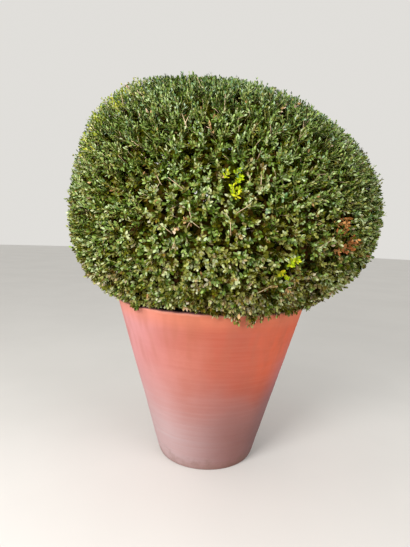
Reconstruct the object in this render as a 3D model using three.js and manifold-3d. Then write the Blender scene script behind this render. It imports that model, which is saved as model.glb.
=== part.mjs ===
// Box topiary ball in a tapered terracotta pot, in millimetres, +Z up.
// The origin is the middle of the pot's flat underside.
import * as THREE from 'three';
import * as BufferGeometryUtils from 'three/addons/utils/BufferGeometryUtils.js';
import Module from 'manifold-3d';

const wasm = await Module();
wasm.setup();

// Space left between pieces that touch
const GAP = 0.3;

// Pot
const POT_HEIGHT = 850;
const RIM_RADIUS = 500;
const FOOT_RADIUS = 255;
const POT_WALL = 38;
const POT_FLOOR = 50;
const RIM_ROUNDING = 9;
const FOOT_ROUNDING = 6;
const POT_SIDES = 72;

// Soil
const SOIL_BELOW_RIM = 32;
const SOIL_TOP = POT_HEIGHT - SOIL_BELOW_RIM;

// Crown: a clipped ball, a little wider than high, squarer than an ellipsoid
const CROWN_CENTRE = new THREE.Vector3(19, 0, 1290);
const CROWN_HALF_WIDTH = 796;
const CROWN_UP = 664;
const CROWN_DOWN = 558;
const CROWN_SQUARENESS = 2.126;

// Swells and hollows that the shears left: where, in degrees, and the share of the radius they add
const SWELLS = [
  { azimuth: 180, elevation: 50, share: 0.103 },
  { azimuth: 180, elevation: 8, share: -0.065 },
  { azimuth: 180, elevation: -42, share: 0.039 },
  { azimuth: 0, elevation: 50, share: -0.062 },
  { azimuth: 0, elevation: 8, share: 0.076 },
];
const SWELL_SPREAD = 0.14;

// Trunk
const TRUNK_BASE = SOIL_TOP + GAP;
const TRUNK_LENGTH = 150;
const TRUNK_RADIUS = 56;
const TRUNK_TAPER = 0.12;
const ROOT_FLARE = 32;
const FLARE_FALL = 4;
const TRUNK_LEAN = new THREE.Vector2(10, -6);

// Boughs, spread round the trunk, every other one starting and ending higher by a step
const BOUGHS = 6;
const BOUGH_RADIUS = 19;
const BOUGH_TIP_RADIUS = 11;
const BOUGH_START = 0.42;
const BOUGH_START_STEP = 0.28;
const BOUGH_ELEVATION = 4;
const BOUGH_ELEVATION_STEP = 30;
const BOUGH_END = 0.77;
const BOUGH_SCATTER = 0.2;
const BOUGH_BEND = 0.45;
const BOUGH_ARCH = 0.12;
const LIMB_SIDES = 10;
const LIMB_STEPS = 6;

// Stem of the foliage, on from the trunk to the top of the space inside the crown
const STEM_RADIUS = 30;
const STEM_TIP_RADIUS = 16;
const STEM_BOW = new THREE.Vector3(22, 14, 0);

// Leaves, each standing for a spray of real ones
const LEAF_LENGTH = 118;
const LEAF_WIDTH = 72;
const LEAF_THICKNESS = 12;
const LEAF_WIDEST = 0.48;

// Twigs, rooted in the core, each with whorls of three leaves and a small leaf on its end.
// Depths are under the crown's surface; tipDepth is that of a whorl's leaf tips.
const TWIGS = 112;
const TWIG_RADIUS = 11;
const TWIG_ROOT_DEPTH = 130;
const WHORLS = [{ depth: 82, tipDepth: 50 }, { depth: 64, tipDepth: 6 }];
const WHORL_LENGTH = 16;
const END_LEAF_DEPTH = 26;
const END_LEAF_WIDTH = 42;
const TWIG_LEAN = 0.16;
const TWIG_LIFT = 0.14;

// Core of the foliage: the leafy shell of a clipped plant, open below, hollow round the limbs
const CORE_DEPTH = 86;
const CORE_DEPTH_BELOW = 26;
const BELOW_FROM = 0.35;
const BELOW_TO = 0.8;
const CORE_BOTTOM = POT_HEIGHT + 9;
const HOLLOW_SHARE = 0.7;
const MOUTH_RADIUS = 360;
const MOUTH_TOP = 1050;
const CORE_DETAIL = 7;
const HOLLOW_DETAIL = 4;

// Clearance of leaves over the pot
const POT_CLEARANCE = 3;

const GOLDEN_ANGLE = Math.PI * (3 - Math.sqrt(5));

// A number from 0 to 1 that depends only on n and k
function seeded(n, k) {
  const wave = Math.sin(n * 12.9898 + k * 78.233) * 43758.5453;
  return wave - Math.floor(wave);
}

// The n-th of count directions spread evenly over a ball by the golden angle
function evenDirection(n, count) {
  const z = 1 - (2 * n + 1) / count;
  const flat = Math.sqrt(1 - z * z);
  const turn = n * GOLDEN_ANGLE;
  return new THREE.Vector3(flat * Math.cos(turn), flat * Math.sin(turn), z);
}

function directionAt(azimuth, elevation) {
  const turn = azimuth * THREE.MathUtils.DEG2RAD;
  const lift = elevation * THREE.MathUtils.DEG2RAD;
  return new THREE.Vector3(Math.cos(lift) * Math.cos(turn), Math.cos(lift) * Math.sin(turn), Math.sin(lift));
}

// Distance from the crown's centre to its clipped surface: a superellipsoid, times its swells
function crownRadius(direction) {
  const half = direction.z > 0 ? CROWN_UP : CROWN_DOWN;
  const across = Math.hypot(direction.x, direction.y) / CROWN_HALF_WIDTH;
  const along = Math.abs(direction.z) / half;
  const power = CROWN_SQUARENESS;
  const radius = (across ** power + along ** power) ** (-1 / power);
  let swell = 1;
  for (const { azimuth, elevation, share } of SWELLS) {
    const apart = 1 - direction.dot(directionAt(azimuth, elevation));
    swell += share * Math.exp(-apart / SWELL_SPREAD);
  }
  return radius * swell;
}

// The point at a depth under the crown's surface, or at a share of its radius
function crownPoint(direction, depth, share = 1) {
  return direction.clone().multiplyScalar(crownRadius(direction) * share - depth).add(CROWN_CENTRE);
}

function insideCrown(point) {
  const arm = point.clone().sub(CROWN_CENTRE);
  return arm.length() <= crownRadius(arm.clone().normalize()) + GAP;
}

// A geometry's positions alone, with its shared vertices merged
function mergedPositions(geometry) {
  const bare = geometry.clone();
  bare.deleteAttribute('normal');
  bare.deleteAttribute('uv');
  return BufferGeometryUtils.mergeVertices(bare);
}

function solidOf(geometry) {
  const merged = mergedPositions(geometry);
  return new wasm.Manifold(new wasm.Mesh({
    numProp: 3,
    vertProperties: merged.attributes.position.array,
    triVerts: Uint32Array.from(merged.index.array),
  }));
}

function geometryOf(solid) {
  const mesh = solid.getMesh();
  const geometry = new THREE.BufferGeometry();
  geometry.setAttribute('position', new THREE.BufferAttribute(mesh.vertProperties, 3));
  geometry.setIndex(new THREE.BufferAttribute(mesh.triVerts, 1));
  return geometry;
}

function moveVertices(geometry, place) {
  const position = geometry.attributes.position;
  const vertex = new THREE.Vector3();
  for (let i = 0; i < position.count; i++) {
    const moved = place(vertex.fromBufferAttribute(position, i));
    position.setXYZ(i, moved.x, moved.y, moved.z);
  }
  return geometry;
}

// A turned shape: its profile runs from the axis round to the axis, and its own Y axis is stood up
function turned(profile, sides) {
  const points = profile.map(([radius, height]) => new THREE.Vector2(radius, height));
  return new THREE.LatheGeometry(points, sides).rotateX(Math.PI / 2);
}

// A quarter round between two faces, as points of a profile from one angle to another
function quarterRound(x, y, radius, from, to) {
  const steps = 3;
  return Array.from({ length: steps + 1 }, (_, i) => {
    const angle = THREE.MathUtils.lerp(from, to, i / steps);
    return [x + radius * Math.cos(angle), y + radius * Math.sin(angle)];
  });
}

// The pot's outer radius at a height
function potRadius(height) {
  return THREE.MathUtils.lerp(FOOT_RADIUS, RIM_RADIUS, height / POT_HEIGHT);
}

function makePot() {
  const rimTop = POT_HEIGHT - RIM_ROUNDING;
  const outerEdge = quarterRound(potRadius(rimTop) - RIM_ROUNDING, rimTop, RIM_ROUNDING, 0, Math.PI / 2);
  const innerEdge = quarterRound(
    potRadius(rimTop) - POT_WALL + RIM_ROUNDING, rimTop, RIM_ROUNDING, Math.PI / 2, Math.PI);
  const profile = [
    [0, 0],
    [potRadius(0) - FOOT_ROUNDING, 0],
    [potRadius(FOOT_ROUNDING), FOOT_ROUNDING],
    ...outerEdge,
    ...innerEdge,
    [potRadius(POT_FLOOR) - POT_WALL, POT_FLOOR],
    [0, POT_FLOOR],
  ];
  return turned(profile, POT_SIDES);
}

function makeSoil() {
  const bottom = POT_FLOOR + GAP;
  const wallAt = (height) => potRadius(height) - POT_WALL - 2 * GAP;
  return turned([[0, bottom], [wallAt(bottom), bottom], [wallAt(SOIL_TOP), SOIL_TOP], [0, SOIL_TOP]], POT_SIDES);
}

// The pot's outer form, filled, that leaves stay clear of
function potSpace() {
  const grow = POT_CLEARANCE;
  return solidOf(turned([
    [0, -grow],
    [FOOT_RADIUS + grow, -grow],
    [RIM_RADIUS + grow, POT_HEIGHT + grow],
    [0, POT_HEIGHT + grow],
  ], POT_SIDES));
}

// A cylinder bent along a route, its radius given along its length, grown by extra all over
function limb(route, radiusAt, sides, steps, extra = 0) {
  const frames = route.computeFrenetFrames(steps);
  const place = (vertex) => {
    const along = vertex.y + 0.5;
    const step = Math.round(along * steps);
    const radius = radiusAt(along) + extra;
    return route.getPointAt(along)
      .addScaledVector(frames.tangents[step], (2 * along - 1) * extra)
      .addScaledVector(frames.normals[step], vertex.x * radius)
      .addScaledVector(frames.binormals[step], -vertex.z * radius);
  };
  return solidOf(moveVertices(new THREE.CylinderGeometry(1, 1, 1, sides, steps), place));
}

function trunkRoute() {
  const top = new THREE.Vector3(TRUNK_LEAN.x, TRUNK_LEAN.y, TRUNK_BASE + TRUNK_LENGTH);
  const bend = new THREE.Vector3(0, 0, TRUNK_BASE + TRUNK_LENGTH / 2);
  return new THREE.QuadraticBezierCurve3(new THREE.Vector3(0, 0, TRUNK_BASE), bend, top);
}

function trunkRadius(along) {
  return TRUNK_RADIUS * (1 - TRUNK_TAPER * along) + ROOT_FLARE * (1 - along) ** FLARE_FALL;
}

function makeTrunk(extra) {
  return limb(trunkRoute(), trunkRadius, 2 * LIMB_SIDES, LIMB_STEPS, extra);
}

// Bough n climbs from the trunk's side and bends out into the leafy shell
function boughRoute(n) {
  const azimuth = (n + BOUGH_SCATTER * seeded(n, 1)) * 360 / BOUGHS;
  const elevation = BOUGH_ELEVATION + BOUGH_ELEVATION_STEP * (n % 2);
  const start = trunkRoute().getPointAt(BOUGH_START + BOUGH_START_STEP * (n % 2));
  const end = crownPoint(directionAt(azimuth, elevation), 0, BOUGH_END);
  const bend = start.clone().lerp(end, BOUGH_BEND);
  bend.z += BOUGH_ARCH * start.distanceTo(end);
  return new THREE.QuadraticBezierCurve3(start, bend, end);
}

function boughRadius(along) {
  return THREE.MathUtils.lerp(BOUGH_RADIUS, BOUGH_TIP_RADIUS, along);
}

function makeBough(n, extra) {
  return limb(boughRoute(n), boughRadius, LIMB_SIDES, LIMB_STEPS, extra);
}

function stemRoute() {
  const start = trunkRoute().getPointAt(1);
  const end = crownPoint(new THREE.Vector3(0, 0, 1), 0, HOLLOW_SHARE).add(new THREE.Vector3(0, 0, LEAF_LENGTH));
  const bend = start.clone().lerp(end, 0.5).add(STEM_BOW);
  return new THREE.QuadraticBezierCurve3(start, bend, end);
}

function makeStem() {
  const radiusAt = (along) => THREE.MathUtils.lerp(STEM_RADIUS, STEM_TIP_RADIUS, along);
  return limb(stemRoute(), radiusAt, LIMB_SIDES, LIMB_STEPS);
}

// A closed form round the crown's centre, its surface placed by direction
function roundForm(detail, surfaceAt) {
  const place = (vertex) => surfaceAt(vertex.clone().normalize());
  return solidOf(moveVertices(new THREE.IcosahedronGeometry(1, detail), place));
}

// How far the core stays under the crown's surface: less below, where foliage fills down to the rim
function coreDepth(direction) {
  const below = THREE.MathUtils.smoothstep(-direction.z, BELOW_FROM, BELOW_TO);
  return THREE.MathUtils.lerp(CORE_DEPTH, CORE_DEPTH_BELOW, below);
}

function makeCore() {
  const below = new THREE.BoxGeometry(4 * RIM_RADIUS, 4 * RIM_RADIUS, POT_HEIGHT);
  below.translate(0, 0, CORE_BOTTOM - POT_HEIGHT / 2);
  const mouth = new THREE.CylinderGeometry(MOUTH_RADIUS, MOUTH_RADIUS, MOUTH_TOP - SOIL_TOP, POT_SIDES / 2);
  mouth.rotateX(Math.PI / 2).translate(CROWN_CENTRE.x, 0, (MOUTH_TOP + SOIL_TOP) / 2);
  return roundForm(CORE_DETAIL, (direction) => crownPoint(direction, coreDepth(direction)))
    .subtract(roundForm(HOLLOW_DETAIL, (direction) => crownPoint(direction, 0, HOLLOW_SHARE)))
    .subtract(solidOf(mouth))
    .subtract(solidOf(below));
}

// Where the n-th twig stands: its root in the core, its tip on the crown's surface, leaning up a little
function twigLine(n) {
  const direction = evenDirection(n, TWIGS);
  const lean = new THREE.Vector3(seeded(n, 2) - 0.5, seeded(n, 3) - 0.5, seeded(n, 4) - 0.5);
  const tipDirection = direction.clone().addScaledVector(lean, TWIG_LEAN).normalize();
  tipDirection.z += TWIG_LIFT * (1 - Math.abs(tipDirection.z));
  tipDirection.normalize();
  return { root: crownPoint(direction, TWIG_ROOT_DEPTH), tip: crownPoint(tipDirection, 0) };
}

// The rings of a twig from its root to its tip: depth under the crown's surface, and the section's two radii
function twigRings() {
  const whorlDepths = WHORLS.map(({ depth }) => depth);
  const shoot = [TWIG_ROOT_DEPTH, ...whorlDepths, whorlDepths.at(-1) - WHORL_LENGTH];
  return [
    ...shoot.map((depth) => ({ depth, across: TWIG_RADIUS, through: TWIG_RADIUS })),
    { depth: END_LEAF_DEPTH, across: END_LEAF_WIDTH / Math.sqrt(3), through: LEAF_THICKNESS / 1.5 },
    { depth: 0, across: 0, through: 0 },
  ];
}

// A three-sided shoot that ends in a leaf, as lists of vertices and faces, with the ring of each vertex.
// It is a cone whose rings are moved to their depths and given back their full size.
function bareTwig(n) {
  const { root, tip } = twigLine(n);
  const axis = tip.clone().sub(root).normalize();
  const side = new THREE.Vector3().crossVectors(axis, new THREE.Vector3(0, 0, 1)).normalize();
  side.applyAxisAngle(axis, 2 * Math.PI * seeded(n, 5));
  const other = new THREE.Vector3().crossVectors(side, axis);
  const rings = twigRings();
  const last = rings.length - 1;
  const unit = mergedPositions(new THREE.CylinderGeometry(0, 1, 1, 3, last));
  const twig = { axis, vertices: [], ringOf: [], faces: [] };
  const corner = new THREE.Vector3();
  for (let i = 0; i < unit.attributes.position.count; i++) {
    corner.fromBufferAttribute(unit.attributes.position, i);
    const ring = Math.round((corner.y + 0.5) * last);
    const taper = ring === last ? 1 : 1 - ring / last;
    const { depth, across, through } = rings[ring];
    twig.ringOf.push(ring);
    twig.vertices.push(tip.clone()
      .addScaledVector(axis, -depth)
      .addScaledVector(side, corner.x / taper * across)
      .addScaledVector(other, corner.z / taper * through));
  }
  for (let i = 0; i < unit.index.count; i += 3) twig.faces.push([0, 1, 2].map((k) => unit.index.getX(i + k)));
  return twig;
}

// The faces of a twig that a whorl's leaves grow from: those with their foot on the whorl's lower ring
function whorlFaces(twig, ring) {
  return twig.faces.filter((face) => {
    const onRing = face.filter((vertex) => twig.ringOf[vertex] === ring).length;
    const onNext = face.filter((vertex) => twig.ringOf[vertex] === ring + 1).length;
    return onRing === 2 && onNext === 1;
  });
}

// A leaf that grows out of one face, flat below and ridged above, its tip at a depth under the crown's surface
function leafOn(twig, face, tipDepth) {
  const [a, b, c] = face.map((vertex) => twig.vertices[vertex]);
  const foot = a.clone().add(b).add(c).divideScalar(3);
  const out = new THREE.Triangle(a, b, c).getNormal(new THREE.Vector3());
  const beyond = foot.clone().addScaledVector(out, LEAF_LENGTH).sub(CROWN_CENTRE).normalize();
  const pointing = crownPoint(beyond, tipDepth).sub(foot).normalize();
  const across = new THREE.Vector3().crossVectors(pointing, twig.axis).normalize();
  const above = new THREE.Vector3().crossVectors(across, pointing);
  const middle = foot.clone().addScaledVector(pointing, LEAF_LENGTH * LEAF_WIDEST);
  const widest = [
    middle.clone().addScaledVector(across, LEAF_WIDTH / 2),
    middle.clone().addScaledVector(across, -LEAF_WIDTH / 2),
    middle.clone().addScaledVector(above, LEAF_THICKNESS),
  ];
  const tip = foot.clone().addScaledVector(pointing, LEAF_LENGTH);
  return { feet: [a, b, c], widest: leastTwisted([a, b, c], widest), tip };
}

// The ring, started at whichever of its points keeps it nearest to the feet
function leastTwisted(feet, ring) {
  const starts = ring.map((_, shift) => ring.map((_, i) => ring[(i + shift) % ring.length]));
  const stretch = (points) => points.reduce((sum, point, i) => sum + point.distanceTo(feet[i]), 0);
  return starts.reduce((best, points) => (stretch(points) < stretch(best) ? points : best));
}

// The 9 faces of a leaf between its feet at f, its widest points at w and its tip at t
function leafFaces(f, w, t) {
  const faces = [];
  for (let i = 0; i < 3; i++) {
    const next = (i + 1) % 3;
    faces.push([f[i], f[next], w[i]], [f[next], w[next], w[i]], [w[i], w[next], t]);
  }
  return faces;
}

function solidOfFaces(vertices, faces) {
  return new wasm.Manifold(new wasm.Mesh({
    numProp: 3,
    vertProperties: Float32Array.from(vertices.flatMap((vertex) => vertex.toArray())),
    triVerts: Uint32Array.from(faces.flat()),
  }));
}

function leafSolid({ feet, widest, tip }) {
  const faces = leafFaces([0, 1, 2], [3, 4, 5], 6);
  return solidOfFaces([...feet, ...widest, tip], [[2, 1, 0], ...faces]);
}

// Grows a leaf on a twig in place of one of its faces
function growLeaf(twig, face, { widest, tip }) {
  const first = twig.vertices.length;
  twig.vertices.push(...widest, tip);
  twig.faces.splice(twig.faces.indexOf(face), 1, ...leafFaces(face, [first, first + 1, first + 2], first + 3));
}

// The n-th twig with the leaves that stay inside the crown and clear of the pot, of other twigs and of each other
function makeTwig(n, isClear) {
  const twig = bareTwig(n);
  let grown = solidOfFaces(twig.vertices, twig.faces);
  if (!isClear(grown)) return null;
  WHORLS.forEach(({ tipDepth }, whorl) => {
    for (const face of whorlFaces(twig, whorl + 1)) {
      const leaf = leafOn(twig, face, tipDepth);
      const solid = leafSolid(leaf);
      const inside = [leaf.tip, ...leaf.widest].every(insideCrown);
      const apart = solid.intersect(grown).volume() < GAP;
      if (inside && apart && isClear(solid)) {
        growLeaf(twig, face, leaf);
        grown = solidOfFaces(twig.vertices, twig.faces);
      }
    }
  });
  return grown;
}

// The clipped foliage in one solid: core, stem, twigs and leaves, clear of the pot and the limbs
function makeFoliage() {
  const pot = potSpace();
  const twigs = [];
  for (let n = 0; n < TWIGS; n++) {
    const { tip } = twigLine(n);
    const near = twigs.filter((twig) => twig.tip.distanceTo(tip) < 3 * LEAF_LENGTH).map((twig) => twig.solid);
    const isClear = (solid) => [pot, ...near].every((other) => other.intersect(solid).isEmpty());
    const solid = makeTwig(n, isClear);
    if (solid) twigs.push({ tip, solid });
  }
  const limbs = Array.from({ length: BOUGHS }, (_, n) => makeBough(n, GAP));
  const spaces = wasm.Manifold.union([makeTrunk(GAP), ...limbs]);
  const grown = wasm.Manifold.union([makeCore(), makeStem(), ...twigs.map((twig) => twig.solid)]);
  return mainBody(grown.subtract(spaces));
}

// The one large body, without loose scraps or the inside of a sealed hollow
function mainBody(solid) {
  return solid.decompose().reduce((best, body) => (body.volume() > best.volume() ? body : best));
}

const MATERIALS = {
  terracotta: new THREE.MeshStandardMaterial({ color: 0xcf8468, roughness: 0.85, metalness: 0 }),
  soil: new THREE.MeshStandardMaterial({ color: 0x3b2c22, roughness: 1, metalness: 0 }),
  bark: new THREE.MeshStandardMaterial({ color: 0x9a8a6c, roughness: 0.9, metalness: 0 }),
  leaves: new THREE.MeshStandardMaterial({ color: 0x55722f, roughness: 0.5, metalness: 0 }),
};

function named(name, geometry, material) {
  const mesh = new THREE.Mesh(geometry, material);
  mesh.name = name;
  return mesh;
}

const container = new THREE.Group();
container.add(named('pot', makePot(), MATERIALS.terracotta));
container.add(named('soil', makeSoil(), MATERIALS.soil));

const limbs = new THREE.Group();
limbs.add(named('trunk', geometryOf(makeTrunk(0)), MATERIALS.bark));
for (let n = 0; n < BOUGHS; n++) {
  const bough = mainBody(makeBough(n, 0).subtract(makeTrunk(GAP)));
  limbs.add(named(`bough_${n + 1}`, geometryOf(bough), MATERIALS.bark));
}

const plant = new THREE.Group();
plant.add(limbs, named('foliage', geometryOf(makeFoliage()), MATERIALS.leaves));

const topiary = new THREE.Group();
topiary.add(container, plant);

export default topiary;
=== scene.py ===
"""Box topiary ball in its terracotta pot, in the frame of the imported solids.

Lengths are in metres, +Z is up and the origin is the middle of the pot's flat underside.
The crown grows by one rule, level by level. An even, seeded spread of directions says where a level's
ends lie under the clipped surface, and each end is joined to the wood of the level before by a bent,
tapering twig. The last level is the leafy shoots, with opposite pairs of leaves, each pair at right angles
to the last.
"""

import bpy
import numpy as np
from mathutils import Matrix, Vector


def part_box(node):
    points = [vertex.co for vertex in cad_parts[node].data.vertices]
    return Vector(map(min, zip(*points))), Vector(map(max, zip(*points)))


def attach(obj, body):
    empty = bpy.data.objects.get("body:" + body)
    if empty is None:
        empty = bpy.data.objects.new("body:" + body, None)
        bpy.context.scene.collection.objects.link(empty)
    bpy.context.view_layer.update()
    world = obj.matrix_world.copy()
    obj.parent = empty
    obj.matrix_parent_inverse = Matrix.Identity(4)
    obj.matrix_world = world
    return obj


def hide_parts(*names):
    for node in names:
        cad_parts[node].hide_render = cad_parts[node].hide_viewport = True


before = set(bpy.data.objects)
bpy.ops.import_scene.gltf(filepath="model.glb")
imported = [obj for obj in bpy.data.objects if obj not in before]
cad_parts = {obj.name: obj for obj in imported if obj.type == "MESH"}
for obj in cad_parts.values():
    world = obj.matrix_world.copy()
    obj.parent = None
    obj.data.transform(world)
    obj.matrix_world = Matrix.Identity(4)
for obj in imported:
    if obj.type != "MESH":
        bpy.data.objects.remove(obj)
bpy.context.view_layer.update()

bl_info = {
    "name": "Box Topiary Ball",
    "version": (1, 0, 0),
    "blender": (4, 5, 0),
    "location": "3D View > Sidebar > Topiary",
    "description": "Builds a clipped box ball in a tapered terracotta pot",
    "category": "Add Mesh",
}

GOLDEN_ANGLE = np.pi * (3 - np.sqrt(5))
UP = np.array([0.0, 0.0, 1.0])

# Pot and soil
POT_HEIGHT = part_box("pot")[1].z
POT_WALL = 0.038
POT_FLOOR = 0.05
RIM_ROUNDING = 0.009
FOOT_ROUNDING = 0.006
POT_TURNS = 240
WALL_ROWS = 132
INSIDE_ROWS = 22
FLAT_ROWS = 6
POLE_RADIUS = 0.02
# The pot's relief: throwing lines and waves in its wall, how far it is out of round in two lobes and in
# three, and how far its rim is dented and worn. Last, the taper that the clay's colours go by
THROWING = 0.0002
WAVES = 0.0006
LOBES = (0.0012, 0.0008)
RIM_DENTS = 0.0018
RIM_WEAR = 0.0009
CLAY_TAPER = 0.285
SOIL_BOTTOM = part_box("soil")[0].z
SOIL_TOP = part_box("soil")[1].z
SOIL_EDGE_GAP = 0.0012
# The soil's top: how far it sinks, its lumps as height, length and seed, and its mound's height and spread
SOIL_SINK = 0.004
SOIL_ROWS = 96
SOIL_POLE = 0.012
SOIL_LUMPS = ((0.0035, 0.14, 21), (0.0018, 0.035, 22), (0.0010, 0.012, 23))
SOIL_MOUND = (0.012, 0.13)
CRUMBS = 700
CRUMB_SIZES = (0.002, 0.006)
CRUMB_EDGE_GAP = 0.02

# Crown, as the source gives it. Its swells are given as azimuth, elevation and share of the radius
CROWN_CENTRE = np.array([0.019, 0.0, 1.290])
CROWN_SQUARENESS = 2.126
SWELLS = ((180, 50, 0.103), (180, 8, -0.065), (180, -42, 0.039), (0, 50, -0.062), (0, 8, 0.076))
SWELL_SPREAD = 0.14

# Trunk, boughs and stem, as the source gives them
TRUNK_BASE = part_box("trunk")[0].z
TRUNK_LENGTH = 0.150
TRUNK_RADIUS = 0.056
TRUNK_TAPER = 0.12
ROOT_FLARE = 0.032
TRUNK_MESH = {"sides": 112, "rings": 120}
TRUNK_LEAN = np.array([0.010, -0.006, 0.0])
BOUGHS = 6
BOUGH_RADIUS = 0.019
BOUGH_TIP_RADIUS = 0.011
BOUGH_START = 0.42
BOUGH_START_STEP = 0.28
BOUGH_ELEVATION = 4
BOUGH_ELEVATION_STEP = 30
BOUGH_END = 0.77
BOUGH_SCATTER = 0.2
BOUGH_BEND = 0.45
BOUGH_ARCH = 0.12
BOUGH_FLARE = 0.007
BOUGH_MESH = {"sides": 30, "rings": 100}
STEM_END = 0.7
STEM_RISE = 0.118
STEM_RADIUS = 0.030
STEM_TIP_RADIUS = 0.016
STEM_BOW = np.array([0.022, 0.014, 0.0])
STEM_FLARE = 0.012
STEM_MESH = {"sides": 36, "rings": 110}

# The levels between the boughs and the leafy shoots: how many ends, how deep they lie under the clipped
# surface, radii at root and tip, sides, rings, the lean and the lift of the ends, and the colour
LEVELS = (
    {"name": "branches", "ends": 60, "depth": 0.170, "radii": (0.0085, 0.0050), "sides": 9,
     "rings": 13, "lean": 0.16, "lift": 0.04, "colour": (134, 114, 86)},
    {"name": "side_branches", "ends": 480, "depth": 0.118, "radii": (0.0047, 0.0028), "sides": 6,
     "rings": 8, "lean": 0.12, "lift": 0.06, "colour": (146, 124, 92)},
    {"name": "twigs", "ends": 3000, "depth": 0.075, "radii": (0.0024, 0.0014), "sides": 3,
     "rings": 5, "lean": 0.06, "lift": 0.05, "colour": (166, 142, 104)},
)
# How a twig forks: for which share of its reach it keeps to the wood's way, how much it rises, and from
# where to where on the wood twigs may grow, in how many steps
FORK = 0.42
TWIG_RISE = 0.35
TWIG_WOBBLE = 0.10
BOUGH_FORKS = (0.3, 1.0, 12)
TWIG_FORKS = (0.5, 1.0, 5)
WOOD_ABOVE_RIM = 0.012
ENDS_AT_ONCE = 1500

SHOOT_RADII = (0.0012, 0.0008)
SHOOT_SIDES = 3
SHOOT_RINGS = 3
SHOOT_LEAN = 0.035
SHOOT_LIFT = 0.05
SHOOT_RISE = 0.75
SHOOT_STRAY = 0.62
# How deep the shoots end, from least to most, and which share of them sinks or stands out by how much more
SHOOT_DEPTHS = (0.010, 0.024)
SUNK_SHARE = 0.13
SUNK_BY = 0.035
TALL_SHARE = 0.05
TALL_BY = 0.016
# The hollows between the tufts: their ripples as height, length and seed, from which to which sum they
# deepen, and the share of the shoots that is missing there
HOLLOW_RIPPLES = ((0.7, 0.11, 61), (0.7, 0.05, 62))
HOLLOW_STEPS = (1.0, 2.2)
HOLLOW_LOSS = 0.45
# How far the shoots' ends keep from the pot and from the level of its rim
SHOOT_GAPS = (0.004, 0.006)

# Leaves on a shoot, and the old shade leaves on the boughs and on each level of wood, larger the deeper they
# sit: how many pairs, from which share of its length, how far they open at its foot and its tip in degrees,
# how far they turn to the light, and their size
SHOOT_LEAVES = {"pairs": 6, "from": 0.22, "open": (62, 22), "light": 0.36, "size": 1.0}
SHADE_LEAVES = ({"pairs": 60, "from": 0.35, "open": (96, 80), "light": 0.50, "size": 4.0},
                {"pairs": 36, "from": 0.08, "open": (96, 88), "light": 0.85, "size": 4.0},
                {"pairs": 16, "from": 0.10, "open": (96, 84), "light": 0.80, "size": 3.3},
                {"pairs": 6, "from": 0.25, "open": (96, 76), "light": 0.75, "size": 2.2})
# The leaf's outline: its stations along the leaf with the breadth there, its fold and its droop
LEAF_STATIONS = (0.30, 0.72)
LEAF_SHARES = (0.96, 0.84)
LEAF_FOLD = 0.055
LEAF_DROOP = 0.08
# Leaves in the full light at the top are smaller and narrower: between these heights, by these shares
LIGHT_HEIGHTS = (0.95, 1.62)
LIGHT_SHORTER = 0.27
LIGHT_NARROWER = 0.20
# Bare stems that show among the leaves: their share of the shoots, how much thicker and how far leafless
BARE_SHARE = 0.07
BARE_THICKNESS = 1.4
BARE_TO = 0.5

# Places that the photograph shows on the crown, as azimuth and elevation from its centre, and their radius
HOLLOWS = (
    (-97, -6, 0.038), (-112, -7, 0.045), (-79, -13, 0.036), (-73, -12, 0.050), (-60, -15, 0.045),
    (-70, -28, 0.060), (-47, -29, 0.052), (-56, 20, 0.034), (-104, -40, 0.060), (-88, -24, 0.028),
)
# The shaggy upper left, where the crown stands out past its surface, and at most how far
PROUD = ((-165, 46, 0.36),)
PROUD_HEIGHT = 0.024
# The middle, where the leaves are painted paler as painted light, and the cooler tints at the lower left
PAINTED_LIGHT_MIDDLE = ((-88, -2, 0.40),)
COOLER = ((-130, -20, 0.30), (-118, -34, 0.30))
BRIGHT_TUFTS = ((-86, 7, 0.058), (-68, -19, 0.050), (-67, -15, 0.040))
SUNLIT = ((-151, 40, 0.24), (-146, 22, 0.13))
RUST_TUFTS = ((-46, -9, 0.056), (-50, -3, 0.046), (-40, -8, 0.036))
DRY_TUFTS = ((-58, -2, 0.020), (-80, -10, 0.026), (-81, -13, 0.030), (-63, -25, 0.022), (-84.6, 5.2, 0.022),
             (-109, -12, 0.020), (-118, -4, 0.014))
# Stems that show bare: how deep they start and end, how far they bow, and where, from azimuth and elevation
# to azimuth and elevation
BARE_DEPTHS = (0.016, 0.002)
BARE_BOW = 0.006
BARE_STEMS = (
    (-95.1, -5.5, -97.3, -3.7), (-97.3, -3.7, -97.8, -0.5), (-98.5, -5.6, -97.3, -3.7),
    (-86.8, -7.2, -87.2, -3.2), (-87.2, -3.2, -88.4, -1.5), (-85.6, -1.4, -82.4, 0.8),
    (-103.1, -11.9, -101.4, -8.8), (-102.6, -7.3, -104.7, -5.3), (-100.6, 22.1, -103.1, 27.2),
    (-101.5, 22.4, -100.1, 26.4), (-99.8, 4.4, -103.8, 7.2), (-105.8, 5.4, -107.2, 8.0),
    (-79.5, 5.2, -79.6, 8.7), (-59.1, -9.6, -56.1, -7.0), (-77.2, -27.6, -72.1, -22.2),
    (-79.8, -24.8, -78.6, -20.4),
)

# Sprigs that hang over the rim in the photograph: azimuth, and how far below the rim they reach
RIM_SPRIGS = ((-135, 0.008), (-130, 0.014), (-90, -0.004), (-87, 0.006), (-80, 0.020), (-76, 0.034),
              (-72, 0.050), (-69, 0.046), (-65, 0.028), (-60, 0.010), (-53, 0.012), (-46, 0.014),
              (-41, 0.012))
# Clumps of shorter sprigs all round: how many, the shoots in each, how far these stray in degrees and in
# height, how far a clump stops above the rim, and how far out from the rim the sprigs reach
RIM_CLUMPS = 60
CLUMP_SHOOTS = 4
CLUMP_SPREAD = 1.6
CLUMP_STRAY = 0.022
CLUMP_STOPS = 0.024
SPRIG_REACH = (0.008, 0.026)
# How far inside the rim and above it a sprig starts, and how far past its reach and above the rim it bends
SPRIG_INSIDE = 0.030
SPRIG_ABOVE = (0.036, 0.060)
SPRIG_BEND = (0.004, 0.040)
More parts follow.
